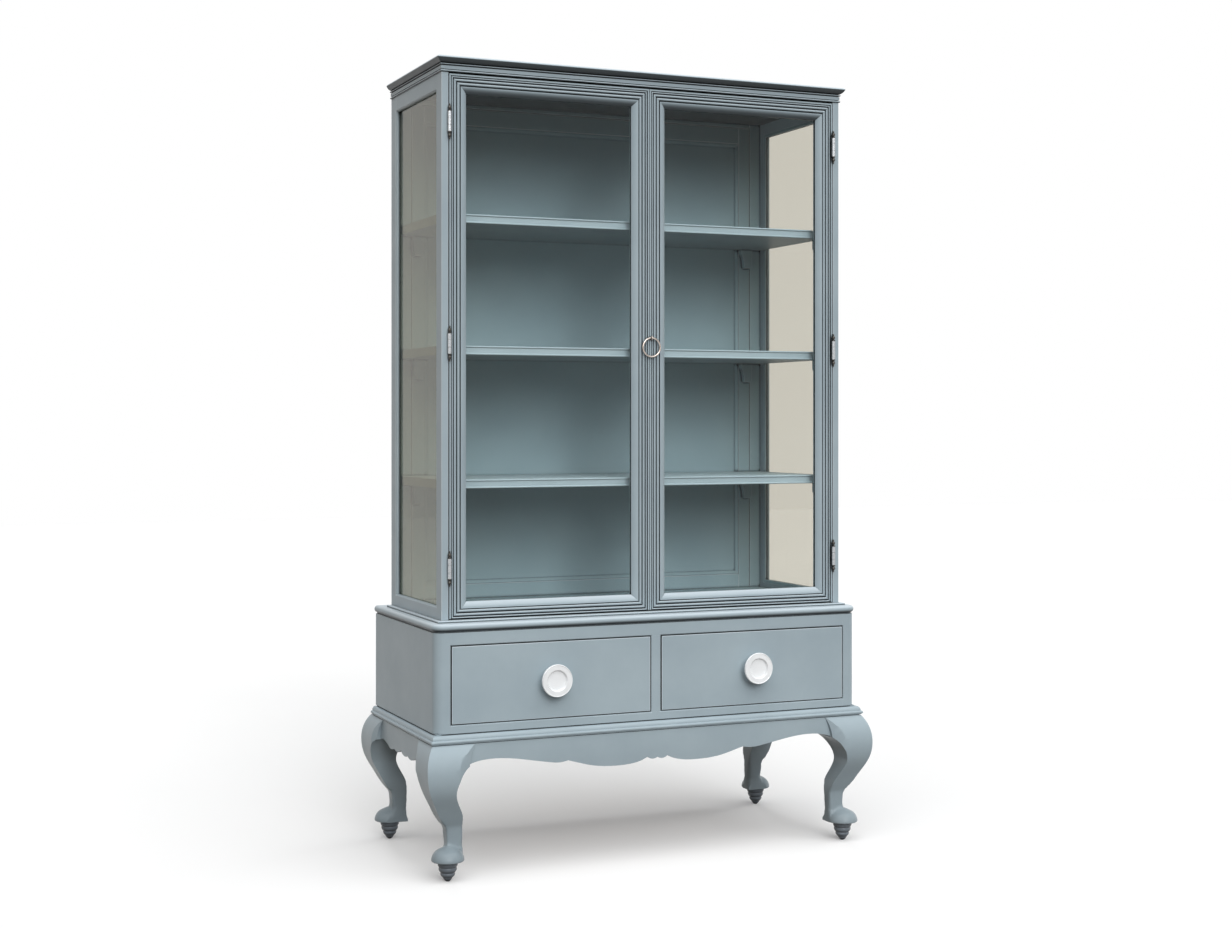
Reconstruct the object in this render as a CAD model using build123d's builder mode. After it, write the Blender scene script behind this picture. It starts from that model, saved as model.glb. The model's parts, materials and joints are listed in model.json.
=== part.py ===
"""China cabinet: glazed upper case on a two-drawer lower case with cabriole legs.

Millimetres. X runs to the viewer's right, Y to the back, Z up.
The origin is on the floor, under the middle of the cabinet.
"""
import os

from build123d import *

os.makedirs("parts", exist_ok=True)

# Heights from the floor
TOE_H = 44
STAND_TOP = 298
CASE_BOTTOM = 321
CASE_TOP = 540
LEDGE_TOP = 559
CORNICE_BOTTOM = 1766
TOTAL_H = 1800

# Lower case and stand, half width and half depth of the case planes
LOW_X = 526
LOW_Y = 231
CORNER_R = 24
POST_W = 36
POST_D = 40
SIDE_T = 20
BACK_T = 12
BOTTOM_T = 12

# Cabriole legs, as (offset out from the case plane, height) along each edge of the template
LEG_OUT_X = ((9, STAND_TOP), (27, 243), (20.5, 200), (1, 160), (-19, 125), (-30, 75))
LEG_IN_X = ((-67, 95), (-60.5, 145), (-40, 196), (-52, 230), (-73, 250))
LEG_OUT_Y = ((9, STAND_TOP), (33, 230), (28, 196), (11.5, 160), (-4, 125), (-8, 75))
LEG_IN_Y = ((-42, 95), (-41, 145), (-34, 190), (-49, 230), (-70, 250))
EAR_IN = 90
EAR_RISE = 0.55
TOE_SET = 1.5
PAD_R = 36
PAD_H = 24
PAD_TOP = 34
SOLE_ROUND = 2.5
INSTEP_IN = 11
TOE_RINGS = ((5.5, 0), (9.5, 8.5), (14, 17.5), (19.6, 29.5), (20.6, TOE_H))
TOE_BULGE = 2.2
SPIGOT_R = 8
SPIGOT_L = 13
APRON_OUT = 8
APRON_T = 20
APRON_END = 60
APRON_END_Z = 246
BACK_APRON_LOW = 252
BACK_APRON_IN = 12

# Base moulding, ledge and cornice
BASE_OUT = 12.8
BASE_W = 60
QUIRK_H = 2.5
QUIRK_D = 3
LEDGE_OUT = 3.5
STEP_OUT = 11
STEP_TOP = LEDGE_TOP + 4.5
STEP_ROUND = 2.2
BASE_H = CASE_BOTTOM - STAND_TOP
CORNICE_OUT = 12
CORNICE_IN = 8
CORNICE_H = TOTAL_H - CORNICE_BOTTOM

# Leg bolts
BOLT_IN_X = 46
BOLT_IN_Y = 42
BOLT_R = 4
BOLT_HEAD_R = 7
BOLT_HEAD_H = 5.5
BOLT_POCKET_R = 9
BOLT_L = 44

# Drawers
LOW_RAIL_TOP = 339
HIGH_RAIL_BOTTOM = 512
DIVIDER_HALF = 12.5
DRAWER_GAP = 2
OPENING_CHAMFER = 2
DRAWER_FRONT_T = 20
DRAWER_SIDE_T = 12
DRAWER_SIDE_IN = 5.5
DRAWER_SIDE_TOP = 495
DRAWER_BACK_Y = 185
DRAWER_BOTTOM_Z = 350
DRAWER_BOTTOM_T = 6
RUNNER_TOP = 340.4
GUIDE_TOP = 380
RUNNER_W = 18
CENTRE_RUNNER_HALF = 45
KNOB_Z = 426
KNOB_R = 36.5
KNOB_OUT = 27
DISH_R = 21
DISH_DEPTH = 5.5
SCREW_R = 2
SCREW_HEAD_R = 4.4
SCREW_HEAD_H = 3
SCREW_BITE = 16

# Upper case
UP_X = 500
UP_FRONT = -195
UP_BACK = 189
UP_POST_W = 16
UP_POST_D = 40
SIDE_RAIL_TOP_H = 36
SIDE_RAIL_LOW_H = 33
SIDE_LIP = 8.4
FLARE = 3.2
GLASS_T = 3
REBATE = 8
SILL_TOP = 564
FLOOR_TOP = 572
TOP_T = 18
BACK_FRAME_T = 14
BATTEN_W = 31
FRAME_W = 32
FRAME_TOP = 1755
FRAME_TOP_RAIL = 42
FRAME_LOW_RAIL = 35
BEAD_W = 10
PANEL_T = 6
PANEL_SET = 7
SHADOW_W = 1.6
SHADOW_D = 3

# Shelves
SHELF_TOPS = {"shelf_lower": 870, "shelf_middle": 1168, "shelf_upper": 1461}
SHELF_T = 20
SHELF_FRONT = -153
SHELF_BEAD = 4
SHELF_BEAD_R = 2.4
SHELF_FLAT_IN = 0.8
BEARER_T = 12
BEARER_FRONT = -169
BEARER_BACK = -116
BEARER_H = 24
NOTCH_W = 33
NOTCH_D = 16
BRACKET_SET = 2
BRACKET_W = 30
BRACKET_H = 48
BRACKET_T = 15
BRACKET_NOSE = 10
BRACKET_CUT = 9

# Doors
DOOR_T = 22
DOOR_STOP_GAP = 1
STOP_RAIL_D = 20
DOOR_EDGE = 482
DOOR_MEET = 0.6
DOOR_BOTTOM = 566.5
DOOR_TOP = 1762.5
DOOR_FRAME = 41.5
DOOR_LIP = 3.6
DOOR_TRIM = 5
DOOR_REEDS = ((5, 8.8), (10.3, 16.4), (18.2, 24.6))
REED_TOP = 0.5
REED_FOOT = 2.3
GROOVE_DEPTH = 4.6
SLOPE_START = 26.6
SLOPE_FLAT = 29.4
SLOPE_TOP = 1.2
SLOPE_MID = (36, 4.4)
SLOPE_DEPTH = 9.4
DOOR_REBATE_U = 34
DOOR_REBATE_W = 11

# Hinges and ring pull
HINGE_HEIGHTS = (677, 1170, 1657)
PIN_X = 483
KNUCKLE_R = 4.5
KNUCKLE_CLEAR = 0.4
PIN_Y = UP_FRONT - KNUCKLE_R - KNUCKLE_CLEAR
PIN_R = 2.4
PIN_PLAY = 0.3
DOOR_KNUCKLE = 8
CASE_KNUCKLE = 22
KNUCKLE_GAP = 0.3
LEAF_T = 0.8
LEAF_D = 17
FINIAL_L = 17
RING_X = 2.4
RING_Y = UP_FRONT - 6.5
RING_R = 21.5
RING_WIRE = 2
EYE_Z = 1191
EYE_R = 3.8
EYE_WIRE = 1.2
EYE_SHANK_R = 1.7

# Small clearances
JOINT = 0.1
GLASS_GAP = 0.5

RIGHT = Vector(1, 0, 0)
BACK = Vector(0, 1, 0)
UP = Vector(0, 0, 1)


def save(builder, name):
    """Label a finished sub-part and write its STEP file."""
    builder.part.label = name
    export_step(builder.part, f"parts/{name}.step")


def block(x0, x1, y0, y1, z0, z1, mode=Mode.ADD):
    """A square-edged board between two corners."""
    with Locations(((x0 + x1) / 2, (y0 + y1) / 2, (z0 + z1) / 2)):
        Box(x1 - x0, y1 - y0, z1 - z0, mode=mode)


def mitred_bar(profile, start, along, inward, length, start_mitre=True, end_mitre=True):
    """A moulded length whose ends are cut at 45 degrees; profile draws (inward, along x inward)."""
    start = Vector(start)
    with BuildPart() as bar:
        with BuildSketch(Plane(start, x_dir=inward, z_dir=along)):
            with BuildLine():
                profile()
            make_face()
        extrude(amount=length)
        if start_mitre:
            split(bisect_by=Plane(start + along * JOINT, z_dir=along - inward))
        if end_mitre:
            split(bisect_by=Plane(start + along * (length - JOINT), z_dir=-along - inward))
    return bar.part


def upright_frame(profile, x0, x1, y, z0, z1):
    """Four mitred bars of an upright frame: left, top, right and bottom."""
    wide = x1 - x0
    tall = z1 - z0
    left = mitred_bar(profile, (x0, y, z0), UP, RIGHT, tall)
    top = mitred_bar(profile, (x0, y, z1), RIGHT, -UP, wide)
    right = mitred_bar(profile, (x1, y, z1), -UP, -RIGHT, tall)
    bottom = mitred_bar(profile, (x1, y, z0), -RIGHT, UP, wide)
    return left, top, right, bottom


# Cabriole legs
def leg_template(outer, inner, corner, outward, normal):
    """Bandsaw template of a leg: shin, foot, calf, arch and ear."""
    ankle_out = outer[-1][0]
    ankle_in = inner[0][0]
    with BuildSketch(Plane(corner, x_dir=outward, z_dir=normal)) as template:
        with BuildLine():
            Spline(*outer, tangents=[(0.8, -1), (0, -1)])
            Polyline(outer[-1], (ankle_out, TOE_H), (ankle_in, TOE_H), inner[0])
            Spline(*inner, tangents=[(0, 1), (-1, 0.5)])
            Spline(inner[-1], (-EAR_IN, STAND_TOP), tangents=[(-0.15, 1), (-0.8, 1)])
            Line((-EAR_IN, STAND_TOP), outer[0])
        make_face()
    return template.sketch


TOE_X = LOW_X + LEG_OUT_X[-1][0] - TOE_SET
TOE_Y = LOW_Y + LEG_OUT_Y[-1][0] - TOE_SET
HEEL_X = LOW_X + LEG_IN_X[0][0]
HEEL_Y = LOW_Y + LEG_IN_Y[0][0]
BOLT_X = LOW_X - BOLT_IN_X
BOLT_Y = LOW_Y - BOLT_IN_Y
LEG_REACH = 140

back_right = leg_template(LEG_OUT_X, LEG_IN_X, (LOW_X, LOW_Y, 0), RIGHT, -BACK)
side_back = leg_template(LEG_OUT_Y, LEG_IN_Y, (LOW_X, LOW_Y, 0), BACK, RIGHT)

with BuildPart() as leg_shaft:
    extrude(back_right, amount=LEG_REACH, both=True)
    extrude(side_back, amount=LEG_REACH, both=True, mode=Mode.INTERSECT)
    # Both ends of the knee are carved back to the aprons
    split(bisect_by=Plane((LOW_X - EAR_IN, LOW_Y + APRON_OUT, 0), z_dir=(EAR_RISE, -1, 0)))
    split(bisect_by=Plane((LOW_X + APRON_OUT, LOW_Y - EAR_IN, 0), z_dir=(-1, EAR_RISE, 0)))

with BuildPart() as leg:
    # Slipper foot: widest at the sole, domed instep, square at the heel
    with BuildSketch(Plane((TOE_X, TOE_Y, TOE_H), x_dir=(1, 0, 0), z_dir=(0, -1, 0))):
        with BuildLine():
            Line((0, 0), (PAD_R - SOLE_ROUND, 0))
            RadiusArc((PAD_R - SOLE_ROUND, 0), (PAD_R, SOLE_ROUND), -SOLE_ROUND)
            ThreePointArc((PAD_R, SOLE_ROUND), (PAD_R - 3.2, PAD_H - 9), (PAD_R - INSTEP_IN, PAD_H))
            Line((PAD_R - INSTEP_IN, PAD_H), (3, PAD_TOP))
            Line((3, PAD_TOP), (0, PAD_TOP))
            Line((0, PAD_TOP), (0, 0))
        make_face()
    revolve(axis=Axis((TOE_X, TOE_Y, 0), (0, 0, 1)))
    split(bisect_by=Plane((HEEL_X, 0, 0), z_dir=(1, 0, 0)))
    split(bisect_by=Plane((0, HEEL_Y, 0), z_dir=(0, 1, 0)))
    add(leg_shaft.part)
    with Locations((TOE_X, TOE_Y, TOE_H)):
        Cylinder(
            SPIGOT_R + JOINT,
            SPIGOT_L + 1,
            align=(Align.CENTER, Align.CENTER, Align.MIN),
            mode=Mode.SUBTRACT,
        )
    with Locations((BOLT_X, BOLT_Y, STAND_TOP)):
        Cylinder(
            BOLT_R + JOINT,
            BOLT_L - BASE_H / 2,
            align=(Align.CENTER, Align.CENTER, Align.MAX),
            mode=Mode.SUBTRACT,
        )

with BuildPart() as leg_back_right:
    add(leg.part)
save(leg_back_right, "leg_back_right")

with BuildPart() as leg_back_left:
    mirror(leg.part, about=Plane.YZ)
save(leg_back_left, "leg_back_left")

with BuildPart() as leg_front_right:
    mirror(leg.part, about=Plane.XZ)
save(leg_front_right, "leg_front_right")

with BuildPart() as leg_front_left:
    mirror(leg_front_right.part, about=Plane.YZ)
save(leg_front_left, "leg_front_left")

with BuildPart() as turned_toes:
    with BuildSketch(Plane((TOE_X, TOE_Y, 0), x_dir=(1, 0, 0), z_dir=(0, -1, 0))):
        with BuildLine():
            Line((0, 0), TOE_RINGS[0])
            for low, high in zip(TOE_RINGS, TOE_RINGS[1:]):
                SagittaArc(low, high, -TOE_BULGE)
            Line(TOE_RINGS[-1], (SPIGOT_R, TOE_H))
            Line((SPIGOT_R, TOE_H), (SPIGOT_R, TOE_H + SPIGOT_L))
            Line((SPIGOT_R, TOE_H + SPIGOT_L), (0, TOE_H + SPIGOT_L))
            Line((0, TOE_H + SPIGOT_L), (0, 0))
        make_face()
    revolve(axis=Axis((TOE_X, TOE_Y, 0), (0, 0, 1)))
    mirror(about=Plane.YZ)
    mirror(about=Plane.XZ)
save(turned_toes, "turned_toes")

with BuildPart() as leg_bolts:
    with Locations((BOLT_X, BOLT_Y, CASE_BOTTOM - BASE_H / 2)):
        Cylinder(BOLT_R, BOLT_L, align=(Align.CENTER, Align.CENTER, Align.MAX))
    with BuildSketch(Plane((BOLT_X, BOLT_Y, CASE_BOTTOM - BASE_H / 2))):
        RegularPolygon(BOLT_HEAD_R, 6)
    extrude(amount=BOLT_HEAD_H)
    mirror(about=Plane.YZ)
    mirror(about=Plane.XZ)
save(leg_bolts, "leg_bolts")


# Aprons between the legs, cut to the outline of the legs at their ends
front_right = leg_template(LEG_OUT_X, LEG_IN_X, (LOW_X, -LOW_Y, 0), RIGHT, -BACK)
front_left = leg_template(LEG_OUT_X, LEG_IN_X, (-LOW_X, -LOW_Y, 0), -RIGHT, BACK)
back_left = leg_template(LEG_OUT_X, LEG_IN_X, (-LOW_X, LOW_Y, 0), -RIGHT, BACK)
side_front = leg_template(LEG_OUT_Y, LEG_IN_Y, (LOW_X, -LOW_Y, 0), -BACK, -RIGHT)

with BuildPart() as apron_front:
    with BuildSketch(Plane.XZ.offset(LOW_Y + APRON_OUT)):
        with BuildLine():
            Line((0, STAND_TOP), (LOW_X - APRON_END, STAND_TOP))
            Line((LOW_X - APRON_END, STAND_TOP), (LOW_X - APRON_END, APRON_END_Z))
            Spline(
                (LOW_X - APRON_END, APRON_END_Z),
                (385, 262),
                (310, 252.5),
                (258, 243.5),
                (219, 245),
                tangents=[(-1, 0.6), (-1, 0.25)],
            )
            Spline((219, 245), (165, 230.5), (97, 224.5), (25, 239), tangents=[(-1, -0.25), (-1, 0.65)])
            ThreePointArc((25, 239), (12, 233.5), (0, 237))
            Line((0, 237), (0, STAND_TOP))
        make_face()
        mirror(about=Plane.YZ)
    extrude(amount=-APRON_T)
    extrude(front_right, amount=LEG_REACH, both=True, mode=Mode.SUBTRACT)
    extrude(front_left, amount=LEG_REACH, both=True, mode=Mode.SUBTRACT)
save(apron_front, "apron_front")

with BuildPart() as apron_sides:
    with BuildSketch(Plane.YZ.offset(LOW_X + APRON_OUT)):
        with BuildLine():
            Line((0, STAND_TOP), (LOW_Y - APRON_END, STAND_TOP))
            Line((LOW_Y - APRON_END, STAND_TOP), (LOW_Y - APRON_END, APRON_END_Z))
            Spline(
                (LOW_Y - APRON_END, APRON_END_Z),
                (140, 254),
                (104, 248),
                tangents=[(-1, 0.6), (-1, -0.1)],
            )
            ThreePointArc((104, 248), (80, 241), (52, 246))
            ThreePointArc((52, 246), (26, 242), (0, 251))
            Line((0, 251), (0, STAND_TOP))
        make_face()
        mirror(about=Plane.YZ)
    extrude(amount=-APRON_T)
    extrude(side_back, amount=LEG_REACH, both=True, mode=Mode.SUBTRACT)
    extrude(side_front, amount=LEG_REACH, both=True, mode=Mode.SUBTRACT)
    mirror(about=Plane.YZ)
save(apron_sides, "apron_sides")

with BuildPart() as apron_back:
    block(
        APRON_END - LOW_X,
        LOW_X - APRON_END,
        LOW_Y - BACK_APRON_IN,
        LOW_Y + APRON_OUT,
        BACK_APRON_LOW,
        STAND_TOP,
    )
    extrude(back_right, amount=LEG_REACH, both=True, mode=Mode.SUBTRACT)
    extrude(back_left, amount=LEG_REACH, both=True, mode=Mode.SUBTRACT)
save(apron_back, "apron_back")


# Base moulding: fillet, low torus and a cove, quirked under and over, mitred at the front corners
def base_profile():
    Polyline((BASE_W, 0), (7, 0), (7, 1.8), (2.8, 1.8), (2.8, 3.2), (1, 4))
    ThreePointArc((1, 4), (0, 7), (1.8, 10))
    Polyline((1.8, 10), (4, 10.6), (4, 12.2))
    ThreePointArc((4, 12.2), (5.8, 17.2), (9.4, 20.4))
    Polyline((9.4, 20.4), (BASE_OUT + QUIRK_D, 20.4), (BASE_OUT + QUIRK_D, BASE_H))
    Polyline((BASE_OUT + QUIRK_D, BASE_H), (BASE_W, BASE_H), (BASE_W, 0))


BASE_X = LOW_X + BASE_OUT
BASE_Y = LOW_Y + BASE_OUT
base_front = mitred_bar(base_profile, (-BASE_X, -BASE_Y, STAND_TOP), RIGHT, BACK, 2 * BASE_X)
base_right = mitred_bar(
    base_profile, (BASE_X, -BASE_Y, STAND_TOP), BACK, -RIGHT, BASE_Y + LOW_Y, end_mitre=False
)

with BuildPart() as base_moulding:
    add(base_front)
    add(base_right)
    mirror(base_right, about=Plane.YZ)
    block(
        BASE_W - BASE_X + 2 * JOINT,
        BASE_X - BASE_W - 2 * JOINT,
        LOW_Y - BASE_W,
        LOW_Y,
        STAND_TOP,
        CASE_BOTTOM,
    )
    with Locations((0, 0, CASE_BOTTOM)):
        with GridLocations(2 * BOLT_X, 2 * BOLT_Y, 2, 2):
            CounterBoreHole(BOLT_R + JOINT, BOLT_POCKET_R, BASE_H / 2, BASE_H)
save(base_moulding, "base_moulding")

# Lower case, with chamfered edges round the two drawer openings
OPENING_X = LOW_X - POST_W
opening_middle = Vector((OPENING_X + DIVIDER_HALF) / 2, -LOW_Y, (LOW_RAIL_TOP + HIGH_RAIL_BOTTOM) / 2)
with BuildPart() as opening_edge:
    with BuildSketch(Plane(opening_middle, x_dir=(1, 0, 0), z_dir=(0, 1, 0))):
        Rectangle(
            OPENING_X - DIVIDER_HALF + 2 * OPENING_CHAMFER,
            HIGH_RAIL_BOTTOM - LOW_RAIL_TOP + 2 * OPENING_CHAMFER,
        )
    extrude(amount=OPENING_CHAMFER, taper=45)
    mirror(about=Plane.YZ)

with BuildPart() as lower_corner_posts:
    block(LOW_X - POST_W, LOW_X, -LOW_Y, POST_D - LOW_Y, CASE_BOTTOM, CASE_TOP)
    front_corner = lower_corner_posts.edges().filter_by(Axis.Z).sort_by(lambda e: e.center().X - e.center().Y)
    fillet(front_corner[-1], CORNER_R)
    mirror(about=Plane.YZ)
    add(opening_edge.part, mode=Mode.SUBTRACT)
save(lower_corner_posts, "lower_corner_posts")

with BuildPart() as lower_side_panels:
    block(LOW_X - SIDE_T, LOW_X, POST_D - LOW_Y, LOW_Y, CASE_BOTTOM, CASE_TOP)
    mirror(about=Plane.YZ)
save(lower_side_panels, "lower_side_panels")

INSIDE_X = LOW_X - SIDE_T
with BuildPart() as lower_back_panel:
    block(-INSIDE_X, INSIDE_X, LOW_Y - BACK_T, LOW_Y, CASE_BOTTOM, CASE_TOP)
save(lower_back_panel, "lower_back_panel")

with BuildPart() as lower_bottom_board:
    block(
        -INSIDE_X, INSIDE_X, POST_D - LOW_Y, LOW_Y - BACK_T, CASE_BOTTOM, CASE_BOTTOM + BOTTOM_T
    )
save(lower_bottom_board, "lower_bottom_board")

with BuildPart() as drawer_rails:
    block(-OPENING_X, OPENING_X, -LOW_Y, POST_D - LOW_Y, CASE_BOTTOM, LOW_RAIL_TOP)
    block(-OPENING_X, OPENING_X, -LOW_Y, POST_D - LOW_Y, HIGH_RAIL_BOTTOM, CASE_TOP)
    add(opening_edge.part, mode=Mode.SUBTRACT)
save(drawer_rails, "drawer_rails")

with BuildPart() as drawer_divider:
    block(
        -DIVIDER_HALF, DIVIDER_HALF, -LOW_Y, POST_D - LOW_Y, LOW_RAIL_TOP, HIGH_RAIL_BOTTOM
    )
    add(opening_edge.part, mode=Mode.SUBTRACT)
save(drawer_divider, "drawer_divider")

RUNNER_BACK = LOW_Y - BACK_T
with BuildPart() as drawer_runners:
    block(OPENING_X - RUNNER_W, INSIDE_X, POST_D - LOW_Y, RUNNER_BACK, CASE_BOTTOM + BOTTOM_T, RUNNER_TOP)
    block(OPENING_X, INSIDE_X, POST_D - LOW_Y, RUNNER_BACK, RUNNER_TOP, GUIDE_TOP)
    mirror(about=Plane.YZ)
    block(
        -CENTRE_RUNNER_HALF,
        CENTRE_RUNNER_HALF,
        POST_D - LOW_Y,
        RUNNER_BACK,
        CASE_BOTTOM + BOTTOM_T,
        RUNNER_TOP,
    )
    block(-DIVIDER_HALF, DIVIDER_HALF, POST_D - LOW_Y, RUNNER_BACK, RUNNER_TOP, GUIDE_TOP)
save(drawer_runners, "drawer_runners")

# Ledge: a round nose, with a quirk between it and the case
NOSE_LOW = CASE_TOP + QUIRK_H
with BuildPart() as ledge_bed:
    block(QUIRK_D - LOW_X, LOW_X - QUIRK_D, QUIRK_D - LOW_Y, LOW_Y, CASE_TOP, NOSE_LOW)
    bed_corners = ledge_bed.edges().filter_by(Axis.Z).sort_by(Axis.Y)[:2]
    fillet(bed_corners, CORNER_R - QUIRK_D)

with BuildPart() as ledge_top:
    block(-LOW_X - LEDGE_OUT, LOW_X + LEDGE_OUT, -LOW_Y - LEDGE_OUT, LOW_Y, NOSE_LOW, LEDGE_TOP)
    front_edges = ledge_top.edges().filter_by(Axis.Z).sort_by(Axis.Y)[:2]
    fillet(front_edges, CORNER_R + LEDGE_OUT)
    rim = ledge_top.faces().filter_by(Axis.Z).edges().filter_by(lambda e: e.center().Y < LOW_Y - 1)
    fillet(rim, (LEDGE_TOP - NOSE_LOW) / 2 - JOINT)
    add(ledge_bed.part)
    block(-UP_X - STEP_OUT, UP_X + STEP_OUT, UP_FRONT - STEP_OUT, UP_FRONT - JOINT, LEDGE_TOP, STEP_TOP)
    for side in (-1, 1):
        step_x = sorted((side * (UP_X + JOINT), side * (UP_X + STEP_OUT)))
        block(*step_x, UP_FRONT - STEP_OUT, UP_BACK, LEDGE_TOP, STEP_TOP)
    step_edges = ledge_top.faces().sort_by(Axis.Z)[-1].outer_wire().edges()
    step_rim = step_edges.filter_by(
        lambda e: abs(e.center().X) > UP_X + STEP_OUT - 1 or e.center().Y < UP_FRONT - STEP_OUT + 1
    )
    fillet(step_rim, STEP_ROUND)
save(ledge_top, "ledge_top")


# Drawers
def knob_profile():
    """Dished ceramic knob: radius from its axis, distance out from the drawer front."""
    rim = KNOB_OUT - 0.8
    dish = rim - DISH_DEPTH
    Line((0, 0), (13, 0))
    Line((13, 0), (13, 2))
    ThreePointArc((13, 2), (11.5, 8), (17, 14))
    Line((17, 14), (34, 20.2))
    ThreePointArc((34, 20.2), (KNOB_R, 23.2), (35.6, 26))
    ThreePointArc((35.6, 26), (34.8, KNOB_OUT), (34, rim))
    Line((34, rim), (DISH_R + 4, rim))
    ThreePointArc((DISH_R + 4, rim), (DISH_R + 2.6, rim - 0.4), (DISH_R + 2, rim - 1.8))
    Line((DISH_R + 2, rim - 1.8), (DISH_R, dish))
    Line((DISH_R, dish), (0, dish))
    Line((0, dish), (0, 0))


DRAWER_IN = DIVIDER_HALF + DRAWER_GAP
DRAWER_OUT = OPENING_X - DRAWER_GAP
DRAWER_LOW = LOW_RAIL_TOP + DRAWER_GAP
DRAWER_HIGH = HIGH_RAIL_BOTTOM - DRAWER_GAP
KNOB_X = (DRAWER_IN + DRAWER_OUT) / 2
FRONT_BACK_Y = DRAWER_FRONT_T - LOW_Y
SIDE_LOW = DRAWER_LOW + 0.4
BOX_IN = DRAWER_IN + DRAWER_SIDE_IN
BOX_OUT = DRAWER_OUT - DRAWER_SIDE_IN
SCREW_L = DRAWER_FRONT_T + SCREW_BITE

for side, sign in (("left", -1), ("right", 1)):
    x_low = min(sign * BOX_IN, sign * BOX_OUT)
    x_high = max(sign * BOX_IN, sign * BOX_OUT)
    knob_centre = Vector(sign * KNOB_X, -LOW_Y, KNOB_Z)
    out_of_front = Plane(knob_centre, x_dir=(1, 0, 0), z_dir=(0, -1, 0))

    with BuildPart() as drawer_front:
        block(
            min(sign * DRAWER_IN, sign * DRAWER_OUT),
            max(sign * DRAWER_IN, sign * DRAWER_OUT),
            -LOW_Y,
            FRONT_BACK_Y,
            DRAWER_LOW,
            DRAWER_HIGH,
        )
        with Locations(out_of_front):
            Hole(SCREW_R + JOINT)
    save(drawer_front, f"{side}_drawer_front")

    with BuildPart() as drawer_box:
        block(x_low, x_low + DRAWER_SIDE_T, FRONT_BACK_Y, DRAWER_BACK_Y, SIDE_LOW, DRAWER_SIDE_TOP)
        block(x_high - DRAWER_SIDE_T, x_high, FRONT_BACK_Y, DRAWER_BACK_Y, SIDE_LOW, DRAWER_SIDE_TOP)
        block(
            x_low + DRAWER_SIDE_T + JOINT,
            x_high - DRAWER_SIDE_T - JOINT,
            DRAWER_BACK_Y - DRAWER_SIDE_T,
            DRAWER_BACK_Y,
            DRAWER_BOTTOM_Z + DRAWER_BOTTOM_T,
            DRAWER_SIDE_TOP,
        )
    save(drawer_box, f"{side}_drawer_box")

    with BuildPart() as drawer_bottom:
        block(
            x_low + DRAWER_SIDE_T,
            x_high - DRAWER_SIDE_T,
            FRONT_BACK_Y,
            DRAWER_BACK_Y,
            DRAWER_BOTTOM_Z,
            DRAWER_BOTTOM_Z + DRAWER_BOTTOM_T,
        )
    save(drawer_bottom, f"{side}_drawer_bottom")

    with BuildPart() as knob:
        with BuildSketch(Plane(knob_centre, x_dir=(1, 0, 0), z_dir=(0, 0, -1))):
            with BuildLine():
                knob_profile()
            make_face()
        revolve(axis=Axis(knob_centre, (0, 1, 0)))
        with Locations(out_of_front):
            Cylinder(
                SCREW_R + JOINT,
                SCREW_BITE + 1,
                align=(Align.CENTER, Align.CENTER, Align.MIN),
                mode=Mode.SUBTRACT,
            )
    save(knob, f"{side}_knob")

    with BuildPart() as knob_screw:
        with Locations(Plane((sign * KNOB_X, FRONT_BACK_Y, KNOB_Z), x_dir=(1, 0, 0), z_dir=(0, -1, 0))):
            Cylinder(SCREW_R, SCREW_L, align=(Align.CENTER, Align.CENTER, Align.MIN))
            Cylinder(SCREW_HEAD_R, SCREW_HEAD_H, align=(Align.CENTER, Align.CENTER, Align.MAX))
    save(knob_screw, f"{side}_knob_screw")

# Upper case: posts and side rails are rebated on the inside for the side panes
POST_IN = UP_X - UP_POST_W
PANE_OUT = UP_X - SIDE_LIP
PANE_IN = PANE_OUT - GLASS_T
PANE_FRONT = UP_FRONT + UP_POST_D
PANE_BACK = UP_BACK - UP_POST_D
PANE_LOW = LEDGE_TOP + SIDE_RAIL_LOW_H
PANE_HIGH = CORNICE_BOTTOM - SIDE_RAIL_TOP_H

with BuildPart() as window_flare:
    with BuildSketch(Plane.YZ.offset(UP_X - FLARE)):
        with Locations(((PANE_FRONT + PANE_BACK) / 2, (PANE_LOW + PANE_HIGH) / 2)):
            Rectangle(PANE_BACK - PANE_FRONT, PANE_HIGH - PANE_LOW)
    extrude(amount=FLARE, taper=-45)

with BuildPart() as upper_front_posts:
    block(POST_IN, UP_X, UP_FRONT, PANE_FRONT, LEDGE_TOP, CORNICE_BOTTOM)
    block(
        POST_IN,
        PANE_OUT,
        PANE_FRONT - REBATE,
        PANE_FRONT,
        PANE_LOW - REBATE,
        PANE_HIGH + REBATE,
        Mode.SUBTRACT,
    )
    add(window_flare.part, mode=Mode.SUBTRACT)
    mirror(about=Plane.YZ)
save(upper_front_posts, "upper_front_posts")

with BuildPart() as upper_back_posts:
    block(POST_IN, UP_X, PANE_BACK, UP_BACK, LEDGE_TOP, CORNICE_BOTTOM)
    block(
        POST_IN,
        PANE_OUT,
        PANE_BACK,
        PANE_BACK + REBATE,
        PANE_LOW - REBATE,
        PANE_HIGH + REBATE,
        Mode.SUBTRACT,
    )
    add(window_flare.part, mode=Mode.SUBTRACT)
    mirror(about=Plane.YZ)
save(upper_back_posts, "upper_back_posts")

with BuildPart() as side_rails:
    block(POST_IN, UP_X, PANE_FRONT, PANE_BACK, LEDGE_TOP, PANE_LOW)
    block(POST_IN, UP_X, PANE_FRONT, PANE_BACK, PANE_HIGH, CORNICE_BOTTOM)
    block(POST_IN, PANE_OUT, PANE_FRONT, PANE_BACK, PANE_LOW - REBATE, PANE_HIGH + REBATE, Mode.SUBTRACT)
    add(window_flare.part, mode=Mode.SUBTRACT)
    mirror(about=Plane.YZ)
save(side_rails, "side_rails")

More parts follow.
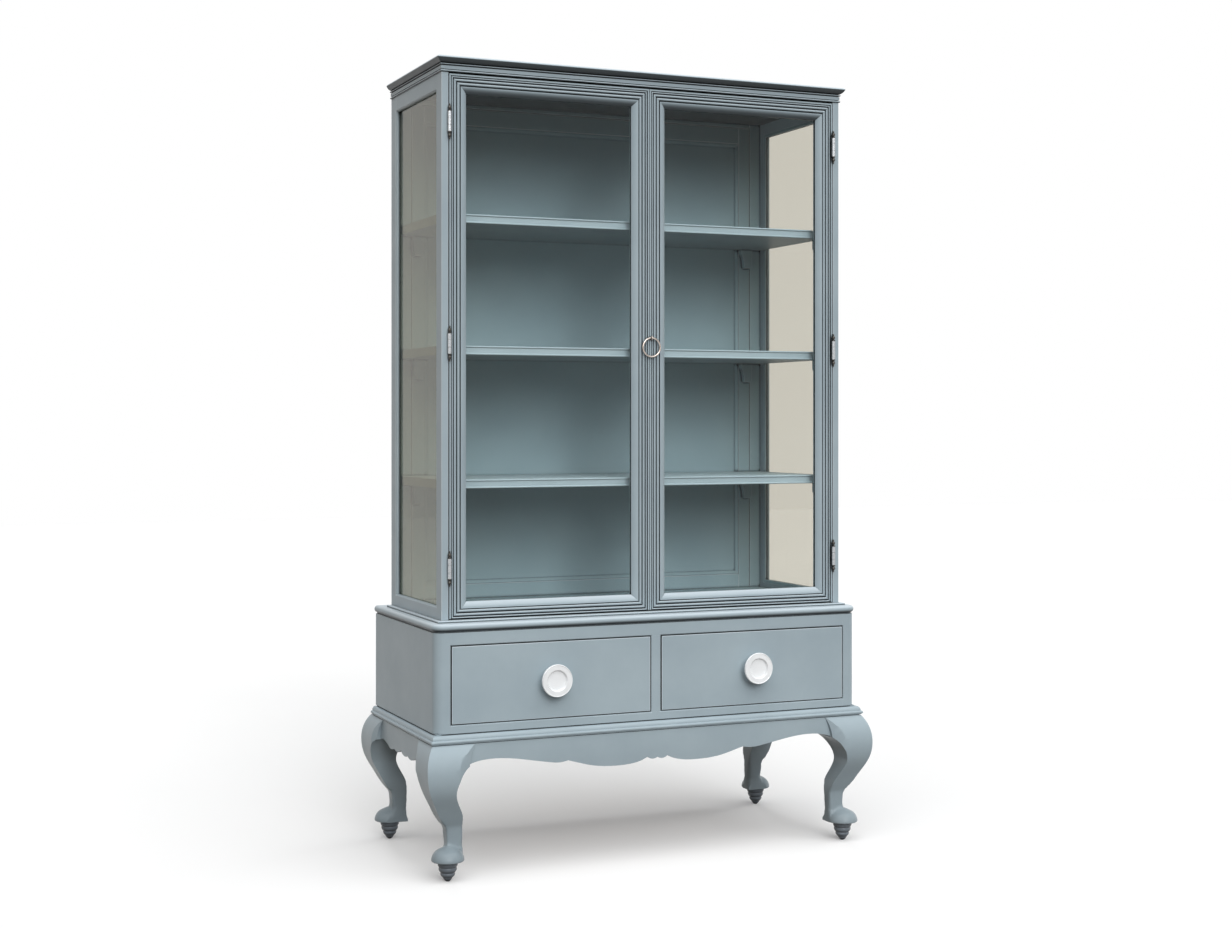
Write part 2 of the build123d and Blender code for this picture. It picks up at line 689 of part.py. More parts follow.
with BuildPart() as side_glass:
    block(
        PANE_IN,
        PANE_OUT,
        PANE_FRONT - REBATE + GLASS_GAP,
        PANE_BACK + REBATE - GLASS_GAP,
        PANE_LOW - REBATE + GLASS_GAP,
        PANE_HIGH + REBATE - GLASS_GAP,
    )
    mirror(about=Plane.YZ)
save(side_glass, "side_glass")

with BuildPart() as side_glazing_beads:
    for y_low in (PANE_FRONT - REBATE, PANE_BACK):
        block(POST_IN, PANE_IN, y_low, y_low + REBATE, PANE_LOW - REBATE, PANE_HIGH + REBATE)
    for z_low in (PANE_LOW - REBATE, PANE_HIGH):
        block(POST_IN, PANE_IN, PANE_FRONT + JOINT, PANE_BACK - JOINT, z_low, z_low + REBATE)
    mirror(about=Plane.YZ)
save(side_glazing_beads, "side_glazing_beads")

STOP_Y = UP_FRONT + DOOR_T + DOOR_STOP_GAP
BACK_FACE = UP_BACK - BACK_FRAME_T
with BuildPart() as upper_floor:
    block(-POST_IN, POST_IN, UP_FRONT, UP_BACK, LEDGE_TOP, SILL_TOP)
    block(-POST_IN, POST_IN, STOP_Y, BACK_FACE, SILL_TOP, FLOOR_TOP)
save(upper_floor, "upper_floor")

with BuildPart() as top_board:
    block(
        CORNICE_IN - UP_X,
        UP_X - CORNICE_IN,
        UP_FRONT + CORNICE_IN,
        UP_BACK,
        CORNICE_BOTTOM,
        CORNICE_BOTTOM + TOP_T,
    )
save(top_board, "top_board")

with BuildPart() as door_stop_rail:
    block(
        -POST_IN, POST_IN, STOP_Y, STOP_Y + STOP_RAIL_D, CORNICE_BOTTOM - TOP_T, CORNICE_BOTTOM
    )
save(door_stop_rail, "door_stop_rail")


# Cornice: bead, flat fascia, small bead, sloping ovolo and nose, with a quirk cut between each two
def cornice_profile():
    inner = CORNICE_OUT + CORNICE_IN
    Line((inner, 0), (10.4, 0))
    ThreePointArc((10.4, 0), (9, 2), (10.4, 4))
    Polyline((10.4, 4), (14, 4), (14, 5.7), (10.4, 5.7), (10.4, 13.3))
    Polyline((10.4, 13.3), (13.4, 13.3), (13.4, 14.9), (9.8, 14.9))
    ThreePointArc((9.8, 14.9), (8.2, 16.5), (9.8, 18.1))
    Polyline((9.8, 18.1), (13, 18.1), (13, 19.6), (9.8, 19.6))
    ThreePointArc((9.8, 19.6), (4.1, 23.7), (0.5, 29))
    ThreePointArc((0.5, 29), (0, 30.6), (0.8, 32))
    Polyline((0.8, 32), (3, CORNICE_H), (inner, CORNICE_H), (inner, 0))


CORNICE_X = UP_X + CORNICE_OUT
CORNICE_FRONT = UP_FRONT - CORNICE_OUT
cornice_front = mitred_bar(
    cornice_profile, (-CORNICE_X, CORNICE_FRONT, CORNICE_BOTTOM), RIGHT, BACK, 2 * CORNICE_X
)
cornice_right = mitred_bar(
    cornice_profile,
    (CORNICE_X, CORNICE_FRONT, CORNICE_BOTTOM),
    BACK,
    -RIGHT,
    UP_BACK - CORNICE_FRONT,
    end_mitre=False,
)

with BuildPart() as cornice:
    add(cornice_front)
    add(cornice_right)
    mirror(cornice_right, about=Plane.YZ)
save(cornice, "cornice")

# Framed back, with a shadow groove between the frame and the battens around it
BATTEN_IN = POST_IN - BATTEN_W
FRAME_IN = BATTEN_IN - FRAME_W
PANEL_LOW = FLOOR_TOP + FRAME_LOW_RAIL
PANEL_HIGH = FRAME_TOP - FRAME_TOP_RAIL
with BuildPart() as back_battens:
    block(BATTEN_IN, POST_IN, BACK_FACE, UP_BACK, SILL_TOP, CORNICE_BOTTOM)
    mirror(about=Plane.YZ)
    block(JOINT - BATTEN_IN, BATTEN_IN - JOINT, BACK_FACE, UP_BACK, FRAME_TOP, CORNICE_BOTTOM)
save(back_battens, "back_battens")

with BuildPart() as back_frame:
    block(FRAME_IN, BATTEN_IN - JOINT, BACK_FACE, UP_BACK, SILL_TOP, FRAME_TOP - JOINT)
    block(
        BATTEN_IN - SHADOW_W,
        BATTEN_IN,
        BACK_FACE,
        BACK_FACE + SHADOW_D,
        SILL_TOP,
        FRAME_TOP,
        Mode.SUBTRACT,
    )
    mirror(about=Plane.YZ)
    block(JOINT - FRAME_IN, FRAME_IN - JOINT, BACK_FACE, UP_BACK, SILL_TOP, PANEL_LOW)
    block(JOINT - FRAME_IN, FRAME_IN - JOINT, BACK_FACE, UP_BACK, PANEL_HIGH, FRAME_TOP - JOINT)
    block(
        -BATTEN_IN,
        BATTEN_IN,
        BACK_FACE,
        BACK_FACE + SHADOW_D,
        FRAME_TOP - SHADOW_W,
        FRAME_TOP,
        Mode.SUBTRACT,
    )
save(back_frame, "back_frame")


def panel_bead_profile():
    """Quarter-round bead, highest against the frame."""
    Line((0, PANEL_SET), (0, 1.5))
    ThreePointArc((0, 1.5), (6, 2.6), (BEAD_W, PANEL_SET))
    Line((BEAD_W, PANEL_SET), (0, PANEL_SET))


bead_bars = upright_frame(panel_bead_profile, -FRAME_IN, FRAME_IN, BACK_FACE, PANEL_LOW, PANEL_HIGH)
with BuildPart() as back_panel_bead:
    for bar in bead_bars:
        add(bar)
save(back_panel_bead, "back_panel_bead")

with BuildPart() as back_panel:
    block(
        -FRAME_IN,
        FRAME_IN,
        BACK_FACE + PANEL_SET,
        BACK_FACE + PANEL_SET + PANEL_T,
        PANEL_LOW,
        PANEL_HIGH,
    )
save(back_panel, "back_panel")

# Shelves with a bead along both front edges, notched at the front corners
for name, shelf_top in SHELF_TOPS.items():
    with BuildPart() as shelf:
        with BuildSketch(Plane((0, SHELF_FRONT, shelf_top - SHELF_T), x_dir=(0, 1, 0), z_dir=(1, 0, 0))):
            with BuildLine():
                RadiusArc((0, 0), (0, SHELF_BEAD), SHELF_BEAD_R)
                Polyline(
                    (0, SHELF_BEAD),
                    (SHELF_FLAT_IN, SHELF_BEAD),
                    (SHELF_FLAT_IN, SHELF_T - SHELF_BEAD),
                    (0, SHELF_T - SHELF_BEAD),
                )
                RadiusArc((0, SHELF_T - SHELF_BEAD), (0, SHELF_T), SHELF_BEAD_R)
                Polyline(
                    (0, SHELF_T),
                    (BACK_FACE - SHELF_FRONT, SHELF_T),
                    (BACK_FACE - SHELF_FRONT, 0),
                    (0, 0),
                )
            make_face()
        extrude(amount=POST_IN - JOINT, both=True)
        for x_low in (-POST_IN, POST_IN - NOTCH_W):
            block(
                x_low,
                x_low + NOTCH_W,
                SHELF_FRONT - NOTCH_D,
                SHELF_FRONT + NOTCH_D,
                shelf_top - SHELF_T,
                shelf_top,
                Mode.SUBTRACT,
            )
    save(shelf, name)

with BuildPart() as shelf_bearers:
    for shelf_top in SHELF_TOPS.values():
        z_high = shelf_top - SHELF_T
        block(POST_IN - BEARER_T, POST_IN, BEARER_FRONT, BEARER_BACK, z_high - BEARER_H, z_high)
    mirror(about=Plane.YZ)
save(shelf_bearers, "shelf_bearers")

with BuildPart() as shelf_brackets:
    for shelf_top in SHELF_TOPS.values():
        z_high = shelf_top - SHELF_T
        corner = (BATTEN_IN - BRACKET_SET, BACK_FACE, z_high)
        with BuildSketch(Plane(corner, x_dir=(-1, 0, 0), z_dir=(0, -1, 0))):
            with BuildLine():
                Polyline(
                    (BRACKET_W, BRACKET_NOSE),
                    (BRACKET_W, 0),
                    (0, 0),
                    (0, BRACKET_H),
                    (BRACKET_W - BRACKET_CUT, BRACKET_H),
                )
                ThreePointArc(
                    (BRACKET_W - BRACKET_CUT, BRACKET_H),
                    (BRACKET_W - 6, BRACKET_H / 2),
                    (BRACKET_W, BRACKET_NOSE),
                )
            make_face()
        extrude(amount=BRACKET_T)
    mirror(about=Plane.YZ)
save(shelf_brackets, "shelf_brackets")


# Doors: mitred frames with three reeds between deep grooves and a slope down to the glass
def door_profile():
    """Distance in from the door's edge, depth behind its face."""
    Polyline((0, DOOR_T), (0, 0), (DOOR_LIP, 0))
    edge = (DOOR_LIP, 0)
    for start, end in DOOR_REEDS:
        Polyline(edge, (edge[0], GROOVE_DEPTH), (start, GROOVE_DEPTH), (start, REED_FOOT))
        ThreePointArc((start, REED_FOOT), ((start + end) / 2, REED_TOP), (end, REED_FOOT))
        edge = (end, REED_FOOT)
    Polyline(edge, (edge[0], GROOVE_DEPTH), (SLOPE_START, GROOVE_DEPTH), (SLOPE_START, SLOPE_TOP))
    Line((SLOPE_START, SLOPE_TOP), (SLOPE_FLAT, SLOPE_TOP))
    ThreePointArc((SLOPE_FLAT, SLOPE_TOP), SLOPE_MID, (DOOR_FRAME, SLOPE_DEPTH))
    Polyline(
        (DOOR_FRAME, SLOPE_DEPTH),
        (DOOR_FRAME, DOOR_REBATE_W),
        (DOOR_REBATE_U, DOOR_REBATE_W),
        (DOOR_REBATE_U, DOOR_T),
        (0, DOOR_T),
    )


PUTTY_W = DOOR_FRAME - DOOR_REBATE_U
PUTTY_ROUND = 4


def door_bead_profile():
    """Glazing bead behind the pane, rounded on its inner edge."""
    glass_back = DOOR_REBATE_W + GLASS_T
    Line((0, DOOR_T), (0, glass_back))
    Line((0, glass_back), (PUTTY_W, glass_back))
    Line((PUTTY_W, glass_back), (PUTTY_W, DOOR_T - PUTTY_ROUND))
    RadiusArc((PUTTY_W, DOOR_T - PUTTY_ROUND), (PUTTY_W - PUTTY_ROUND, DOOR_T), -PUTTY_ROUND)
    Line((PUTTY_W - PUTTY_ROUND, DOOR_T), (0, DOOR_T))


# The lower rail is planed down to its first reed
FRAME_FOOT = DOOR_BOTTOM - DOOR_TRIM

for side, sign in (("left", -1), ("right", 1)):
    x0 = min(sign * DOOR_MEET, sign * DOOR_EDGE)
    x1 = max(sign * DOOR_MEET, sign * DOOR_EDGE)
    bars = upright_frame(door_profile, x0, x1, UP_FRONT, FRAME_FOOT, DOOR_TOP)
    beads = upright_frame(
        door_bead_profile,
        x0 + DOOR_REBATE_U,
        x1 - DOOR_REBATE_U,
        UP_FRONT,
        FRAME_FOOT + DOOR_REBATE_U,
        DOOR_TOP - DOOR_REBATE_U,
    )

    with BuildPart() as door_stiles:
        add(bars[0])
        add(bars[2])
        split(bisect_by=Plane((0, 0, DOOR_BOTTOM)))
    save(door_stiles, f"{side}_door_stiles")

    with BuildPart() as door_rails:
        add(bars[1])
        add(bars[3])
        split(bisect_by=Plane((0, 0, DOOR_BOTTOM)))
    save(door_rails, f"{side}_door_rails")

    with BuildPart() as door_glass:
        block(
            x0 + DOOR_REBATE_U + GLASS_GAP,
            x1 - DOOR_REBATE_U - GLASS_GAP,
            UP_FRONT + DOOR_REBATE_W,
            UP_FRONT + DOOR_REBATE_W + GLASS_T,
            FRAME_FOOT + DOOR_REBATE_U + GLASS_GAP,
            DOOR_TOP - DOOR_REBATE_U - GLASS_GAP,
        )
    save(door_glass, f"{side}_door_glass")

    with BuildPart() as door_beads:
        for bar in beads:
            add(bar)
    save(door_beads, f"{side}_door_beads")

    leaf_low = min(sign * DOOR_EDGE, sign * (DOOR_EDGE + LEAF_T))
    with BuildPart() as hinge_leaves:
        for height in HINGE_HEIGHTS:
            block(
                leaf_low,
                leaf_low + LEAF_T,
                UP_FRONT,
                UP_FRONT + LEAF_D,
                height - CASE_KNUCKLE,
                height + CASE_KNUCKLE,
            )
            block(
                leaf_low,
                leaf_low + LEAF_T,
                PIN_Y,
                UP_FRONT,
                height - DOOR_KNUCKLE,
                height + DOOR_KNUCKLE,
            )
            with Locations((sign * PIN_X, PIN_Y, height)):
                Cylinder(KNUCKLE_R, 2 * DOOR_KNUCKLE)
                Cylinder(PIN_R + PIN_PLAY, 2 * DOOR_KNUCKLE, mode=Mode.SUBTRACT)
    save(hinge_leaves, f"{side}_hinge_leaves")

# Hinge parts that stay with the case
CASE_LEAF_IN = POST_IN - LEAF_T
with BuildPart() as case_hinge_leaves:
    for height in HINGE_HEIGHTS:
        block(
            CASE_LEAF_IN,
            POST_IN,
            UP_FRONT,
            UP_FRONT + LEAF_D,
            height - CASE_KNUCKLE,
            height + CASE_KNUCKLE,
        )
        for z_low in (height - CASE_KNUCKLE, height + DOOR_KNUCKLE + KNUCKLE_GAP):
            z_high = z_low + CASE_KNUCKLE - DOOR_KNUCKLE - KNUCKLE_GAP
            block(CASE_LEAF_IN, POST_IN, PIN_Y, UP_FRONT, z_low, z_high)
            with Locations((PIN_X, PIN_Y, (z_low + z_high) / 2)):
                Cylinder(KNUCKLE_R, z_high - z_low)
                Cylinder(PIN_R + JOINT, z_high - z_low, mode=Mode.SUBTRACT)
    mirror(about=Plane.YZ)
save(case_hinge_leaves, "case_hinge_leaves")

def pin_profile():
    """Half of a hinge pin: shank, collar, urn and tip."""
    foot = CASE_KNUCKLE + JOINT
    tip = foot + FINIAL_L
    Line((0, 0), (PIN_R, 0))
    Line((PIN_R, 0), (PIN_R, foot))
    Line((PIN_R, foot), (4.3, foot))
    Line((4.3, foot), (4.3, foot + 1.8))
    ThreePointArc((4.3, foot + 1.8), (2.4, foot + 3.6), (2.8, foot + 5))
    ThreePointArc((2.8, foot + 5), (4.1, foot + 8.5), (2, foot + 12))
    Line((2, foot + 12), (1.4, foot + 13))
    ThreePointArc((1.4, foot + 13), (1.9, tip - 2.2), (0.9, tip))
    Line((0.9, tip), (0, tip))
    Line((0, tip), (0, 0))


with BuildPart() as hinge_pins:
    for height in HINGE_HEIGHTS:
        with BuildSketch(Plane((PIN_X, PIN_Y, height), x_dir=(1, 0, 0), z_dir=(0, -1, 0))):
            with BuildLine():
                pin_profile()
            make_face()
            mirror(about=Plane.XZ)
        revolve(axis=Axis((PIN_X, PIN_Y, height), (0, 0, 1)))
    mirror(about=Plane.YZ)
save(hinge_pins, "hinge_pins")

# Ring pull at the meeting stiles, on the right door
with BuildPart() as ring_eye:
    with Locations(Location((RING_X, RING_Y, EYE_Z), (0, 90, 0))):
        Torus(EYE_R, EYE_WIRE)
    with Locations(Plane((RING_X, UP_FRONT, EYE_Z), x_dir=(1, 0, 0), z_dir=(0, -1, 0))):
        Cylinder(EYE_SHANK_R, UP_FRONT - RING_Y - EYE_R, align=(Align.CENTER, Align.CENTER, Align.MIN))
save(ring_eye, "ring_eye")

with BuildPart() as pull_ring:
    with Locations(Location((RING_X, RING_Y, EYE_Z - RING_R), (90, 0, 0))):
        Torus(RING_R, RING_WIRE)
save(pull_ring, "pull_ring")
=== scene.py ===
import json
import math

import bmesh
import bpy
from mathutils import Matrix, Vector


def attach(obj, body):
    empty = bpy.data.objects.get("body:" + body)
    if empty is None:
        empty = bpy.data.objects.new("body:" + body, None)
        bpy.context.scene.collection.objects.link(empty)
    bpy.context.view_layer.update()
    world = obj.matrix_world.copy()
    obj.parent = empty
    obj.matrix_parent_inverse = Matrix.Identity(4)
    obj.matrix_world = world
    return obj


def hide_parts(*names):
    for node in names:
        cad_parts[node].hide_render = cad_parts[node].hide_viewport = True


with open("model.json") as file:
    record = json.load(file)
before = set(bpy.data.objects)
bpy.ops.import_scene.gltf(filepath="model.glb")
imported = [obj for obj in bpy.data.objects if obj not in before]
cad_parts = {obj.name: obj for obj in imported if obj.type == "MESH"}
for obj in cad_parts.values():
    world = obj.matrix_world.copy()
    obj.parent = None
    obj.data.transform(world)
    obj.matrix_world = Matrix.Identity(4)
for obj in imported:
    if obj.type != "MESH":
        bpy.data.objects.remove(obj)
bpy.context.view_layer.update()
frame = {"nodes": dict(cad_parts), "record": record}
nodes = frame["nodes"]
scene = bpy.context.scene


def rgb(r, g, b):
    """An 8-bit screen colour as linear RGBA."""
    lin = [c / 255 / 12.92 if c <= 10 else ((c / 255 + 0.055) / 1.055) ** 2.4 for c in (r, g, b)]
    return (*lin, 1.0)


class Nodes:
    """A short way to write a material's nodes."""

    def __init__(self, name):
        self.mat = bpy.data.materials.new(name)
        self.mat.use_nodes = True
        self.tree = self.mat.node_tree
        self.tree.nodes.clear()
        self.out = self.new("ShaderNodeOutputMaterial")
        self.coords = self.new("ShaderNodeTexCoord").outputs["Object"]

    def new(self, kind, **values):
        node = self.tree.nodes.new(kind)
        for key, value in values.items():
            setattr(node, key, value)
        return node

    def link(self, a, b):
        self.tree.links.new(a, b)

    def feed(self, socket, value):
        if isinstance(value, bpy.types.NodeSocket):
            self.link(value, socket)
        else:
            socket.default_value = value

    def put(self, node, **values):
        for key, value in values.items():
            self.feed(node.inputs[key.replace("_", " ")], value)
        return node

    def noise(self, scale, detail=3.0, roughness=0.5, stretch=(1, 1, 1)):
        mapping = self.put(self.new("ShaderNodeMapping"), Vector=self.coords, Scale=stretch)
        noise = self.put(
            self.new("ShaderNodeTexNoise"),
            Vector=mapping.outputs["Vector"],
            Scale=scale,
            Detail=detail,
            Roughness=roughness,
        )
        return noise.outputs["Fac"]

    def ramp(self, fac, *stops):
        ramp = self.new("ShaderNodeValToRGB")
        self.link(fac, ramp.inputs["Fac"])
        elements = ramp.color_ramp.elements
        while len(elements) < len(stops):
            elements.new(0.5)
        for element, (place, colour) in zip(elements, stops):
            element.position = place
            element.color = colour
        return ramp.outputs["Color"]

    def mix(self, fac, a, b):
        """Colour a where fac is 0 and colour b where it is 1."""
        node = self.new("ShaderNodeMix", data_type="RGBA")
        for socket, value in zip((0, 6, 7), (fac, a, b)):
            self.feed(node.inputs[socket], value)
        return node.outputs[2]

    def maths(self, operation, a, b):
        node = self.new("ShaderNodeMath", operation=operation)
        self.feed(node.inputs[0], a)
        self.feed(node.inputs[1], b)
        return node.outputs[0]

    def spread(self, fac, low, high, start=0.0, end=1.0):
        """Low to high while fac runs from start to end, and level beyond them."""
        node = self.new("ShaderNodeMapRange")
        self.put(node, Value=fac, From_Min=start, From_Max=end, To_Min=low, To_Max=high)
        return node.outputs[0]

    def bump(self, height, strength, distance):
        node = self.put(self.new("ShaderNodeBump"), Height=height, Strength=strength, Distance=distance)
        return node.outputs["Normal"]

    def join(self, kind, first, second, fac=None):
        """Two shaders added, or mixed by fac."""
        node = self.new(kind)
        inputs = list(node.inputs)
        if fac is not None:
            self.link(fac, inputs.pop(0))
        self.link(first.outputs[0], inputs[0])
        self.link(second.outputs[0], inputs[1])
        return node

    def finish(self, shader):
        self.link(shader.outputs[0], self.out.inputs["Surface"])
        return self.mat

    def principled(self, **values):
        return self.put(self.new("ShaderNodeBsdfPrincipled"), **values)


WHITE = (1, 1, 1, 1)
BLACK = (0, 0, 0, 1)
# Heights in metres between which the painted shade changes, towards the ceiling of the case and towards the
# floor.
CEILING_SHADE = (1.5, 1.76)
LOW_SHADE_HEIGHTS = (0.1, 0.3)
LOW_SHADE_SHARE = 0.3


def paint(
    name,
    light,
    dark,
    shade_colour,
    roughness=0.36,
    reach=0.006,
    groove_shade=0.92,
    gather=(0.34, 0.72),
    top_light=None,
    underside_shade=(0.55, -0.7, -0.2),
    dim=0.0,
):
    """Brushed satin paint: cloudy colour and brush drag, with painted shade in the grooves and joints, under
    the mouldings and towards the floor.

    Reach is how far a point looks for walls around it, and gather how open it is where the painted groove
    shade is full and where it ends. Groove shade is the most painted shade in a groove. A top light colour is
    a painted highlight where a moulding looks up, and the shade colour is painted shade where it looks down:
    underside shade is its most, then the normal's Z where it is full and where it ends. Dim is the share of
    painted shade that front faces take on towards the ceiling of the case.
    """
    n = Nodes(name)
    cloud = n.noise(5.0, 5.0, 0.6)
    body = n.ramp(cloud, (0.32, dark), (0.68, light))
    drag = n.noise(60.0, 3.0, 0.55, (6, 6, 0.5))
    body = n.mix(n.spread(drag, 0.0, 0.22), body, dark)
    # Painted shade: darker in the grooves and joints, where walls close in around a point.
    hollow = n.put(n.new("ShaderNodeAmbientOcclusion", samples=8), Distance=reach)
    groove = n.ramp(hollow.outputs["AO"], (gather[0], WHITE), (gather[1], BLACK))
    lean = n.new("ShaderNodeSeparateXYZ")
    n.link(n.new("ShaderNodeNewGeometry").outputs["Normal"], lean.inputs[0])
    if top_light:
        most, full, none = underside_shade
        # Painted highlight: lighter where the surface looks up.
        body = n.mix(n.spread(lean.outputs["Z"], 0.0, 0.75, 0.25, 0.8), body, top_light)
        # Painted shade: darker where the surface looks down, as under a moulding.
        body = n.mix(n.spread(lean.outputs["Z"], most, 0.0, full, none), body, shade_colour)
    body = n.mix(n.maths("MULTIPLY", groove, groove_shade), body, shade_colour)
    height = n.new("ShaderNodeSeparateXYZ")
    n.link(n.coords, height.inputs[0])
    # Painted shade: darker towards the floor, below the case.
    low_shade = n.ramp(height.outputs["Z"], (LOW_SHADE_HEIGHTS[0], WHITE), (LOW_SHADE_HEIGHTS[1], BLACK))
    body = n.mix(n.maths("MULTIPLY", low_shade, LOW_SHADE_SHARE), body, shade_colour)
    # Painted shade: front faces darker towards the ceiling of the case.
    if dim:
        facing = n.spread(lean.outputs["Y"], 1.0, 0.0, -0.3, 0.3)
        high = n.spread(height.outputs["Z"], 0.0, dim, *CEILING_SHADE)
        body = n.mix(n.maths("MULTIPLY", facing, high), body, shade_colour)
    fine = n.noise(420.0, 2.0, 0.5)
    strokes = n.maths("ADD", n.maths("MULTIPLY", drag, 0.7), n.maths("MULTIPLY", fine, 0.3))
    shader = n.principled(
        Base_Color=body,
        Roughness=n.spread(n.noise(18.0, 4.0), roughness - 0.07, roughness + 0.09),
        Specular_IOR_Level=0.2,
        Normal=n.bump(strokes, 0.15, 0.0005),
    )
    return n.finish(shader)


def bare_wood(name, along):
    """Sanded softwood, its grain drawn out along the axis where along is small."""
    n = Nodes(name)
    grain = n.noise(30.0, 6.0, 0.55, along)
    pores = n.noise(240.0, 2.0, 0.5, along)
    body = n.ramp(grain, (0.3, rgb(158, 122, 84)), (0.5, rgb(184, 148, 108)), (0.72, rgb(200, 166, 126)))
    body = n.mix(n.spread(pores, 0.0, 0.25), body, rgb(120, 86, 54))
    shader = n.principled(
        Base_Color=body,
        Roughness=n.spread(grain, 0.55, 0.75),
        Normal=n.bump(pores, 0.25, 0.0004),
    )
    return n.finish(shader)


def glass(name, tint, dust):
    """Thin pane that lets the lamps through, with a trace of dust."""
    n = Nodes(name)
    rough = n.spread(n.noise(6.0, 4.0), 0.0, dust)
    shader = n.principled(Base_Color=tint, Roughness=rough, IOR=1.22, Transmission_Weight=1.0)
    clear = n.put(n.new("ShaderNodeBsdfTransparent"), Color=tint)
    path = n.new("ShaderNodeLightPath")
    through = n.maths("MAXIMUM", path.outputs["Is Shadow Ray"], path.outputs["Is Diffuse Ray"])
    return n.finish(n.join("ShaderNodeMixShader", shader, clear, through))


def ceramic(name):
    """White glazed ceramic, a little uneven and very glossy."""
    n = Nodes(name)
    cloud = n.noise(22.0, 4.0)
    body = n.ramp(cloud, (0.3, rgb(228, 231, 233)), (0.7, rgb(240, 243, 245)))
    shader = n.principled(
        Base_Color=body,
        Roughness=n.spread(n.noise(60.0), 0.08, 0.2),
        Coat_Weight=0.6,
        Coat_Roughness=0.05,
        Normal=n.bump(n.noise(35.0, 2.0), 0.05, 0.001),
    )
    return n.finish(shader)


def metal(name, bright, patina, roughness, share):
    """Cast metal with dark patina left in the low places."""
    n = Nodes(name)
    spots = n.noise(240.0, 5.0, 0.65)
    hollow = n.put(n.new("ShaderNodeAmbientOcclusion", samples=6), Distance=0.003)
    low = n.maths("SUBTRACT", 1.0, hollow.outputs["AO"])
    stained = n.maths("ADD", n.maths("MULTIPLY", spots, share), low)
    mask = n.ramp(stained, (0.3, BLACK), (0.62, WHITE))
    shader = n.principled(
        Base_Color=n.mix(mask, bright, patina),
        Metallic=1.0,
        Roughness=n.spread(spots, roughness - 0.08, roughness + 0.15),
        Normal=n.bump(spots, 0.3, 0.0004),
    )
    return n.finish(shader)


BLUE = (rgb(164, 179, 186), rgb(153, 168, 176))
INNER_BLUE = (rgb(156, 179, 185), rgb(144, 167, 174))
SHELF_BLUE = (rgb(172, 192, 198), rgb(160, 180, 187))
TOE_GREY = (rgb(140, 150, 159), rgb(124, 133, 142))
# Dark colours painted in as shade in grooves, joints and undersides.
SHADE_GREY = rgb(42, 42, 44)
BLACK_SHADE = rgb(14, 14, 15)
# A light colour painted in as a highlight where mouldings look up.
TOP_LIGHT_BLUE = rgb(202, 213, 220)
# Deeper painted shade in the grooves and gaps.
DEEP = {"reach": 0.008, "groove_shade": 0.98, "gather": (0.46, 0.84)}

# Every paint below takes painted shade in its grooves and towards the floor. Those given a top light colour
# also take a painted highlight where they look up and painted shade where they look down; the inside ones take
# painted shade towards the ceiling of the case.
OUTSIDE = paint("outside_paint", *BLUE, SHADE_GREY)
MOULDINGS = paint("moulding_paint", *BLUE, BLACK_SHADE, top_light=TOP_LIGHT_BLUE, underside_shade=(0.8, -0.6, -0.05), **DEEP)
FRAMES = paint("side_frame_paint", *BLUE, SHADE_GREY, groove_shade=0.35)
CORNICE = paint("cornice_paint", *BLUE, rgb(20, 18, 17), top_light=TOP_LIGHT_BLUE, underside_shade=(0.85, -0.5, 0.1), **DEEP)
INSIDE = paint(
    "inside_paint",
    *INNER_BLUE,
    rgb(24, 29, 31),
    roughness=0.45,
    reach=0.009,
    groove_shade=0.96,
    gather=(0.45, 0.85),
    top_light=INNER_BLUE[0],
    dim=0.4,
)
CEILING = paint("ceiling_paint", *BLUE, rgb(20, 24, 26), top_light=BLUE[0], underside_shade=(0.85, -0.7, -0.2))
PANEL_BEAD = paint(
    "panel_bead_paint",
    *INNER_BLUE,
    rgb(18, 22, 24),
    roughness=0.45,
    reach=0.011,
    groove_shade=1.0,
    gather=(0.55, 0.92),
    dim=0.4,
)
SHELVES = paint("shelf_paint", *SHELF_BLUE, rgb(40, 46, 50), roughness=0.45, top_light=SHELF_BLUE[0])
CASE = paint("case_paint", *BLUE, BLACK_SHADE, **DEEP)
STAND = paint("stand_paint", *BLUE, SHADE_GREY, roughness=0.32, groove_shade=0.3)
TOES = paint(
    "toe_paint",
    *TOE_GREY,
    rgb(20, 21, 24),
    roughness=0.26,
    groove_shade=1.0,
    gather=(0.4, 0.82),
    top_light=rgb(170, 180, 190),
)
# Lighter colours for the bevelled edges: painted highlights along the arrises.
HIGHLIGHT_EDGES = paint("painted_highlight_edges", rgb(206, 217, 223), rgb(190, 202, 209), SHADE_GREY)
SHELF_HIGHLIGHT_EDGES = paint("painted_highlight_shelf_edges", rgb(196, 210, 215), rgb(180, 195, 201), rgb(50, 56, 60))
WOOD_ACROSS = bare_wood("bare_wood_across", (0.03, 1, 1))
WOOD_LEVEL = bare_wood("bare_wood_level", (0.04, 0.04, 1))
DOOR_PANE = glass("door_pane", (0.98, 0.985, 0.985, 1), 0.03)
SIDE_PANE = glass("side_pane", (0.63, 0.60, 0.52, 1), 0.05)
# A warmer tint on the left side pane stands in for a beige reflection: a painted reflection.
LEFT_PANE_REFLECTION = glass("left_pane_painted_reflection", (0.62, 0.59, 0.46, 1), 0.05)
KNOB = ceramic("white_glaze")
PEWTER = metal("pewter", rgb(78, 76, 73), rgb(8, 8, 8), 0.3, 0.66)
POLISHED = metal("polished_steel", rgb(176, 179, 182), rgb(30, 29, 28), 0.2, 0.56)
NICKEL = metal("nickel", rgb(186, 176, 168), rgb(44, 30, 24), 0.14, 0.62)
STEEL = metal("steel", rgb(178, 180, 184), rgb(120, 118, 112), 0.35, 0.25)

